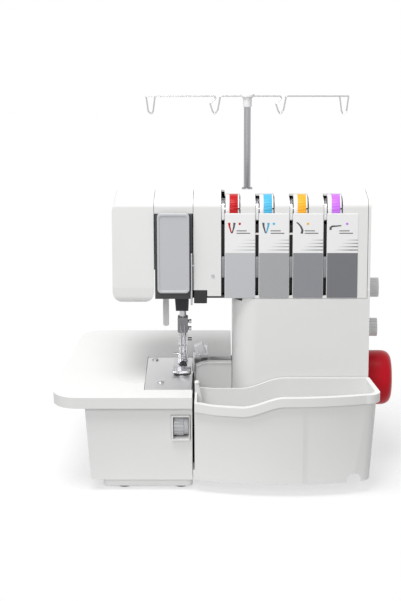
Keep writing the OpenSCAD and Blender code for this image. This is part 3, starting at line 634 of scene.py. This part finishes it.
class OverlockLabels(bpy.types.Operator):
    """Makes the four printed plates between the thread slots"""

    bl_idname = "overlock.labels"
    bl_label = "Label plates"

    def execute(self, context):
        bottom = PLACES["tension_cover"][0].z + 0.6 * MM
        top = bottom + LABEL_HEIGHT
        for i, path in enumerate(THREAD_PATHS):
            left = SLOT_X + i * SLOT_PITCH + SLOT_WIDTH / 2 + 0.5 * MM
            right = SLOT_X + (i + 1) * SLOT_PITCH - SLOT_WIDTH / 2 - (0.4 if i < 3 else -0.5) * MM
            face = face_y(bottom)
            low = Vector((left, face - sizes().label_thickness, bottom))
            high = Vector((right, face + 0.3 * MM, top))
            plate = new_block("label_" + path, low, high)
            edit(plate, "EDGE", lambda edge: edge_along(edge, 1))
            bpy.ops.mesh.bevel(offset=0.8 * MM, segments=4)
            shut(plate)
            edit(plate, "EDGE", lambda edge: all(v.co.y < face - 0.1 * MM for v in edge.verts))
            bpy.ops.mesh.bevel(offset=0.15 * MM, segments=2)
            shut(plate)
            edit(plate, "VERT", lambda vert: vert.co.z > (bottom + top) / 2)
            bpy.ops.transform.translate(value=(0, face_y(top) - face, 0))
            shut(plate)
            dot = getattr(colours(), path)
            name = "printed polyester " + path.replace("_", " ")
            FINISHES[name] = printed_label(name, LABEL_FIELDS[i], dot, low, high, 0.64 if i == 3 else 0.49)
            hand_over(plate, "machine", name, "white_plastic", smooth=0)
            self.emblem(path, left, top, face_y)
        return {"FINISHED"}

    def emblem(self, path, left, top, face):
        """The plain sign of the part a thread goes to, and two rules, as thin films of ink on the label."""
        lift = sizes().label_thickness

        def film(name, corners, ink):
            """A flat outline drawn on the label, given as x from its left edge and depth below its top."""
            deselect()
            bpy.ops.mesh.primitive_circle_add(vertices=len(corners), fill_type="NGON", radius=1 * MM)
            sign = bpy.context.object
            sign.name = sign.data.name = name
            for vertex, (x, down) in zip(sign.data.vertices, corners):
                z = top - down * MM
                vertex.co = (left + x * MM, face(z) - lift - 0.02 * MM, z)
            edit(sign)
            bpy.ops.mesh.normals_make_consistent(inside=False)
            bpy.ops.mesh.extrude_region_move(TRANSFORM_OT_translate={"value": (0, -0.06 * MM, 0)})
            bpy.ops.mesh.select_all(action="SELECT")
            bpy.ops.mesh.normals_make_consistent(inside=False)
            shut(sign)
            hand_over(sign, "machine", ink, "dark_plastic", smooth=0)

        def stroke(line, width):
            """The outline of a stroke of a width along a line, narrower towards its end."""
            sides = ([], [])
            for i, (x, down) in enumerate(line):
                before, after = line[max(i - 1, 0)], line[min(i + 1, len(line) - 1)]
                run = Vector((after[0] - before[0], after[1] - before[1])).normalized()
                half = width / 2 * (1 - 0.55 * i / (len(line) - 1))
                sides[0].append((x - run.y * half, down + run.x * half))
                sides[1].append((x + run.y * half, down - run.x * half))
            return sides[0] + sides[1][::-1]

        own = "dial " + path.replace("_", " ")
        shift = 0.0
        if path.endswith("needle"):
            lit = 0 if path.startswith("left") else 1
            needle_lines = ([(4.2, 9.4), (4.5, 13), (6.6, 20.6)], [(9.8, 9.4), (9.4, 13), (7.4, 20.6)])
            for number, line in enumerate(needle_lines):
                film("sign_needle_%s_%d" % (path, number), stroke(line, 2.6), own if number == lit else "ink grey")
        elif path == "upper_looper":
            film("sign_" + path, stroke([(8.8, 21), (9.6, 17.5), (8, 13.6), (5.4, 10.4), (3.4, 9)], 2.6), "ink grey")
        else:
            film("sign_" + path, stroke([(3.4, 17), (3.2, 14.6), (5, 13.2), (9, 13), (14.6, 12.4)], 2.6), "ink grey")
            shift = 0.6
        start = 12 + shift
        for number, (end, down) in enumerate(((22.6 + shift, 17.6), (26.4 + shift, 20.2))):
            film("rule_%s_%d" % (path, number),
                 [(start, down), (end, down), (end, down + 0.9), (start, down + 0.9)], "ink grey")


CLASSES.append(OverlockLabels)


class OverlockChannels(bpy.types.Operator):
    """Makes the thread tabs in the four slots, a light one over the top edge and a grey one low down"""

    bl_idname = "overlock.channels"
    bl_label = "Slot tabs"

    def execute(self, context):
        for i, path in enumerate(THREAD_PATHS):
            middle = SLOT_X + i * SLOT_PITCH
            half = SLOT_WIDTH / 2 - 0.25 * MM
            for name, bottom, top, shade in TABS:
                front = face_y(bottom) + 1.2 * MM
                tab = new_block("slot_tab_%s_%s" % (name, path), (middle - half, front, bottom),
                                (middle + half, front + 4 * MM, top))
                edit(tab, "VERT", lambda vert: vert.co.z > (bottom + top) / 2)
                bpy.ops.transform.translate(value=(0, face_y(top) - face_y(bottom), 0))
                shut(tab)
                edit(tab, "EDGE", lambda edge: edge_along(edge, 0) and edge.verts[0].co.y < front + 2 * MM)
                bpy.ops.mesh.bevel(offset=2.2 * MM, segments=4)
                shut(tab)
                round_edges(tab, 0.3 * MM)
                hand_over(tab, "machine", shade, "dark_plastic")
        return {"FINISHED"}


CLASSES.append(OverlockChannels)


class OverlockDials(bpy.types.Operator):
    """Makes the four tension dials, each a coloured ribbed band between white shoulders"""

    bl_idname = "overlock.dials"
    bl_label = "Tension dials"

    def execute(self, context):
        for i, path in enumerate(THREAD_PATHS):
            node = "tension_dial_" + path
            low, high = PLACES[node]
            middle = ((low.y + high.y) / 2, (low.z + high.z) / 2)
            radius = (high.z - low.z) / 2
            band_ends = (low.x + 4.4 * MM, high.x - 1.8 * MM)
            band = ribbed_drum("dial_band_" + path, radius, band_ends, middle, 30, 0.3 * MM)
            round_edges(band, 0.25 * MM)
            body = "dial_" + path
            hand_over(band, body, "dial " + path.replace("_", " "), DIAL_SLOTS[i], node)
            shoulders = []
            for side, ends in enumerate(((low.x + 0.1 * MM, band_ends[0]), (band_ends[1], high.x - 0.1 * MM))):
                centre = ((ends[0] + ends[1]) / 2, *middle)
                ring = new_drum("dial_shoulder_%s_%d" % (path, side), radius - 0.5 * MM, ends[1] - ends[0],
                                centre, "X", 96)
                round_edges(ring, 0.5 * MM, 3)
                shoulders.append(ring)
            ring = join(shoulders, "dial_shoulders_" + path)
            hand_over(ring, body, "white ABS", "white_plastic", node)
            # the pointer reaches over the right shoulder, clear of the turning dial
            height = middle[1] + 5.2 * MM
            front = middle[0] - radius - 0.1 * MM
            index = new_block("dial_index_" + path, (high.x - 1.6 * MM, front, height - 0.7 * MM),
                              (high.x + 0.9 * MM, front + 0.9 * MM, height + 0.7 * MM))
            round_edges(index, 0.15 * MM)
            hand_over(index, "machine", "black ABS", "dark_plastic")
        return {"FINISHED"}


CLASSES.append(OverlockDials)


class OverlockKnobs(bpy.types.Operator):
    """Makes the two ribbed side knobs and the ridged cutting width wheel"""

    bl_idname = "overlock.knobs"
    bl_label = "Knobs"

    def execute(self, context):
        cover = PLACES["right_side_cover"][1].x
        for node, body in (("stitch_length_knob", "stitch_length"), ("differential_knob", "differential")):
            low, high = PLACES[node]
            middle = ((low.y + high.y) / 2, (low.z + high.z) / 2)
            radius = (high.z - low.z) / 2
            grip = ribbed_drum(node + "_grip", radius, (cover + 3 * MM, high.x), middle, 20, 0.7 * MM, 1.6 * MM)
            round_edges(grip, 0.35 * MM)
            skirt = new_drum(node + "_skirt", radius - 2.5 * MM, 2.6 * MM, (cover + 1.8 * MM, *middle), "X", 64)
            stem = new_drum(node + "_stem", 3.6 * MM, cover + 0.6 * MM - low.x,
                            ((cover + 0.6 * MM + low.x) / 2, *middle), "X", 32)
            knob = join([grip, skirt, stem], node + "_moulding")
            hand_over(knob, body, "pale grey ABS", "knob_grey", node)
            line = new_block(node + "_pointer", (high.x - 0.6 * MM, middle[0] - 0.5 * MM, middle[1] + 2.5 * MM),
                             (high.x + 0.12 * MM, middle[0] + 0.5 * MM, middle[1] + radius - 1.2 * MM))
            round_edges(line, 0.1 * MM)
            hand_over(line, body, "black ABS", "dark_plastic")
        low, high = PLACES["cutting_width_dial"]
        middle = ((low.y + high.y) / 2, (low.z + high.z) / 2)
        wheel = ribbed_drum("cutting_width_wheel", (high.z - low.z) / 2, (low.x, high.x - 4.9 * MM), middle, 18,
                            0.9 * MM)
        round_edges(wheel, 0.3 * MM)
        scale = new_drum("cutting_width_scale", (high.z - low.z) / 2 - 1 * MM, 4.9 * MM,
                         (high.x - 2.45 * MM, *middle), "X", 72)
        round_edges(scale, 0.4 * MM)
        wheel = join([wheel, scale], "cutting_width_moulding")
        hand_over(wheel, "cutting_width", "light grey ABS", "grey_plastic", "cutting_width_dial")
        return {"FINISHED"}


CLASSES.append(OverlockKnobs)


class OverlockThreadGuide(bpy.types.Operator):
    """Bends the round wire of the thread guide and makes its cap"""

    bl_idname = "overlock.thread_guide"
    bl_label = "Thread guide"

    def execute(self, context):
        low, high = PLACES["guide_bar"]
        pole = PLACES["pole_inner"]
        centre = Vector(((pole[0].x + pole[1].x) / 2, (pole[0].y + pole[1].y) / 2, high.z - 3.2 * MM))
        inner, outer = 37.5 * MM, 109.5 * MM
        hook = [(4.2, -1.2), (2, -17.7), (0, -20.6), (-3.6, -17.7), (-5.8, 0)]
        curl = [(0, 0), (1.4, -2.4), (-5, -8.8), (-2.2, -17.6), (0.4, -20.6), (3.8, -16), (6.8, 0)]
        path = [(x * MM - outer, z * MM) for x, z in hook]
        for side in (-inner, inner):
            path += [(side + x * MM, z * MM) for x, z in curl]
        path += [(outer - x * MM, z * MM) for x, z in reversed(hook)]
        points = [centre + Vector((x, 0, z)) for x, z in path]
        bar = wire("guide_wire", points, sizes().wire_radius, 1.6 * MM)
        hand_over(bar, "thread_guide", "nickel-plated steel", "steel", "guide_bar")
        parts = []
        for radius, bottom, top in ((8, 0, 3.2), (6, -2.2, 0.2), (5, -11.9, -2)):
            drum = new_drum("cap_step", radius * MM, (top - bottom) * MM,
                            centre + Vector((0, 0, (top + bottom) / 2 * MM)), "Z", 64)
            round_edges(drum, 0.5 * MM, 3)
            parts.append(drum)
        cap = join(parts, "guide_cap")
        hand_over(cap, "thread_guide", "pale grey ABS", "steel", "guide_bar")
        return {"FINISHED"}


CLASSES.append(OverlockThreadGuide)


# the take-up rod's length and middle height, and the needle plate's screws as x and y
ROD_LENGTH = 57 * MM
ROD_HEIGHT = 222.5 * MM
PLATE_SCREWS = ((-78.3 * MM, 1.9 * MM), (-70.2 * MM, -77.2 * MM))


class OverlockSewingParts(bpy.types.Operator):
    """Adds the screws, toes, wire guides and take-up rod round the needles"""

    bl_idname = "overlock.sewing_parts"
    bl_label = "Sewing parts"

    def execute(self, context):
        clamp = PLACES["needle_clamp"]
        foot = PLACES["presser_foot"]
        face = PLACES["face_plate"]
        rod = new_drum("take_up_rod", 1 * MM, ROD_LENGTH, (face[1].x + 2.1 * MM, face[1].y - 1.2 * MM, ROD_HEIGHT),
                       "Z", 24)
        round_edges(rod, 0.4 * MM)
        hand_over(rod, "machine", "nickel-plated steel", "steel")
        # two clamp screws with knurled heads and slots
        middle_y = (clamp[0].y + clamp[1].y) / 2
        x = clamp[1].x - 1.4 * MM
        for number, z in enumerate((clamp[0].z + 3.7 * MM, clamp[0].z + 11.7 * MM)):
            head = ribbed_drum("clamp_screw_%d" % number, 2.3 * MM, (x - 1.2 * MM, x + 1.6 * MM), (middle_y, z), 12,
                               0.2 * MM)
            slot = new_block("slot", (x + 0.9 * MM, middle_y - 4 * MM, z - 0.3 * MM),
                             (x + 3 * MM, middle_y + 4 * MM, z + 0.3 * MM))
            cut(head, slot)
            hand_over(head, "needle_bar", "nickel-plated steel", "steel")
        # toes of the foot, turned up at the front
        for name, x0, x1 in (("left", foot[0].x + 0.3 * MM, foot[0].x + 7.2 * MM),
                             ("right", foot[0].x + 11.2 * MM, foot[1].x - 1.8 * MM)):
            front = foot[0].y
            toe = new_block("foot_toe_" + name, (x0, front - 5 * MM, foot[0].z + 0.6 * MM),
                            (x1, front + 3 * MM, foot[0].z + 2.2 * MM))
            edit(toe, "EDGE", lambda edge: edge_along(edge, 1))
            bpy.ops.mesh.subdivide(number_cuts=5)
            shut(toe)
            edit(toe, "VERT", lambda vert: vert.co.y < front - 4.5 * MM)
            bpy.ops.transform.translate(value=(0, 0, 2.6 * MM))
            shut(toe)
            edit(toe, "VERT", lambda vert: front - 4.5 * MM < vert.co.y < front - 1.5 * MM)
            bpy.ops.transform.translate(value=(0, 0, 0.9 * MM))
            shut(toe)
            round_edges(toe, 0.4 * MM, 2)
            hand_over(toe, "presser_bar", "nickel-plated steel", "steel")
        # ankle block, release lever and screw over the sole
        ankle = new_block("foot_ankle", (foot[0].x + 5.6 * MM, foot[0].y + 26.7 * MM, foot[0].z + 3 * MM),
                          (foot[0].x + 14.8 * MM, foot[0].y + 33 * MM, foot[0].z + 13 * MM))
        edit(ankle, "FACE", lambda face: face.normal.y < -0.9)
        bpy.ops.mesh.inset(thickness=1.6 * MM, depth=0)
        bpy.ops.mesh.extrude_region_move(TRANSFORM_OT_translate={"value": (0, -1.2 * MM, 0)})
        shut(ankle)
        round_edges(ankle, 0.5 * MM, 2)
        hand_over(ankle, "presser_bar", "nickel-plated steel", "steel")
        lever = new_block("foot_release_lever", (foot[0].x + 7 * MM, foot[0].y + 34 * MM, foot[0].z + 9 * MM),
                          (foot[0].x + 13 * MM, foot[0].y + 48 * MM, foot[0].z + 10.6 * MM))
        round_edges(lever, 0.5 * MM)
        hand_over(lever, "presser_bar", "black ABS", "dark_plastic")
        # wire guides that steer the thread down to the needles
        for number, x in enumerate((-2.0, 1.8)):
            top = Vector(((clamp[0].x + clamp[1].x) / 2 + (x - 1.8) * MM, clamp[0].y - 0.2 * MM, clamp[0].z + 9 * MM))
            points = [top + Vector((0, 1.0 * MM, 0)), top + Vector((0, -1.6 * MM, 0)),
                      top + Vector((0, -1.6 * MM, -6 * MM)), top + Vector((1.4 * MM, -1.2 * MM, -7.5 * MM)),
                      top + Vector((1.4 * MM, 1.0 * MM, -7.5 * MM))]
            guide = wire("needle_thread_guide_%d" % number, points, 0.35 * MM, 0.7 * MM)
            hand_over(guide, "needle_bar", "nickel-plated steel", "steel")
        # screw heads with a slot, over the needle plate
        top = PLACES["needle_plate"][1].z
        for number, (x, y) in enumerate(PLATE_SCREWS):
            head = new_drum("plate_screw_%d" % number, 3.65 * MM, 1.4 * MM, (x, y, top + 0.7 * MM), "Z", 48)
            round_edges(head, 0.45 * MM, 3)
            slot = new_block("slot", (-5 * MM, -0.45 * MM, -0.7 * MM), (5 * MM, 0.45 * MM, 0.7 * MM))
            slot.rotation_euler = (0, 0, 0.6 + number)
            slot.location = (x, y, top + 1.5 * MM)
            settle(slot)
            cut(head, slot)
            hand_over(head, "machine", "nickel-plated steel", "steel")
        # lens of the sewing lamp, under the head
        lamp = PLACES["lamp_housing"]
        lens = new_block("lamp_lens", (lamp[0].x + 2 * MM, lamp[0].y + 3 * MM, lamp[0].z - 1 * MM),
                         (lamp[1].x - 2 * MM, lamp[1].y - 3 * MM, lamp[0].z + 0.2 * MM))
        round_edges(lens, 0.5 * MM, 3)
        hand_over(lens, "machine", "milky polypropylene", "pin_plastic")
        return {"FINISHED"}


CLASSES.append(OverlockSewingParts)


class OverlockStage(bpy.types.Operator):
    """Makes the floor, the soft light and the camera"""

    bl_idname = "overlock.stage"
    bl_label = "Stage"

    def execute(self, context):
        deselect()
        bpy.ops.mesh.primitive_plane_add(size=6, location=(0, 0, -0.0005))
        floor = bpy.context.object
        floor.name = "floor"
        floor.data.materials.append(fading_paper("matt white paper", *FLOOR_FADE))
        world = bpy.data.worlds.new("soft studio")
        world.use_nodes = True
        tree = world.node_tree
        tree.nodes.clear()
        scattered = add_node(tree, "ShaderNodeLightPath").outputs["Is Diffuse Ray"]
        strength = remap(tree, scattered, 0.0, 1.0, 1.0, AMBIENT)
        sky = add_node(tree, "ShaderNodeBackground", {"Color": (1, 1, 1, 1), "Strength": strength})
        add_node(tree, "ShaderNodeOutputWorld", {"Surface": sky.outputs[0]})
        context.scene.world = world
        for name, place, aim, size, power in LAMPS:
            light = bpy.data.lights.new(name, "AREA")
            light.size = size
            light.energy = power
            lamp = bpy.data.objects.new(name, light)
            context.scene.collection.objects.link(lamp)
            lamp.location = place
            lamp.rotation_euler = (Vector(aim) - Vector(place)).to_track_quat("-Z", "Y").to_euler()
        lens = bpy.data.cameras.new("camera")
        lens.lens = CAMERA_LENS
        lens.sensor_width = 36
        lens.shift_x = CAMERA_SHIFT
        lens.clip_end = 50
        camera = bpy.data.objects.new("camera", lens)
        camera.location = CAMERA_PLACE
        camera.rotation_euler = (math.radians(90 - CAMERA_DIP), 0, 0)
        context.scene.collection.objects.link(camera)
        context.scene.camera = camera
        context.scene.view_settings.view_transform = "Standard"
        return {"FINISHED"}


CLASSES.append(OverlockStage)


class OverlockPanel(bpy.types.Panel):
    """The machine's settings and steps"""

    bl_idname = "VIEW3D_PT_overlock"
    bl_label = "Overlock machine"
    bl_space_type = "VIEW_3D"
    bl_region_type = "UI"
    bl_category = "Overlock"

    def draw(self, context):
        for group in (colours(), sizes()):
            for name in group.__annotations__:
                self.layout.prop(group, name)
        for step in STEPS:
            self.layout.operator(step)


CLASSES.append(OverlockPanel)
STEPS = [c.bl_idname for c in CLASSES if issubclass(c, bpy.types.Operator)]


def register():
    for item in CLASSES:
        bpy.utils.register_class(item)
    bpy.types.Scene.overlock_colours = bpy.props.PointerProperty(type=OverlockColours)
    bpy.types.Scene.overlock_sizes = bpy.props.PointerProperty(type=OverlockSizes)


def unregister():
    del bpy.types.Scene.overlock_sizes
    del bpy.types.Scene.overlock_colours
    for item in reversed(CLASSES):
        bpy.utils.unregister_class(item)


def main():
    register()
    for step in STEPS:
        group, name = step.split(".")
        getattr(getattr(bpy.ops, group), name)()


if __name__ == "__main__":
    main()
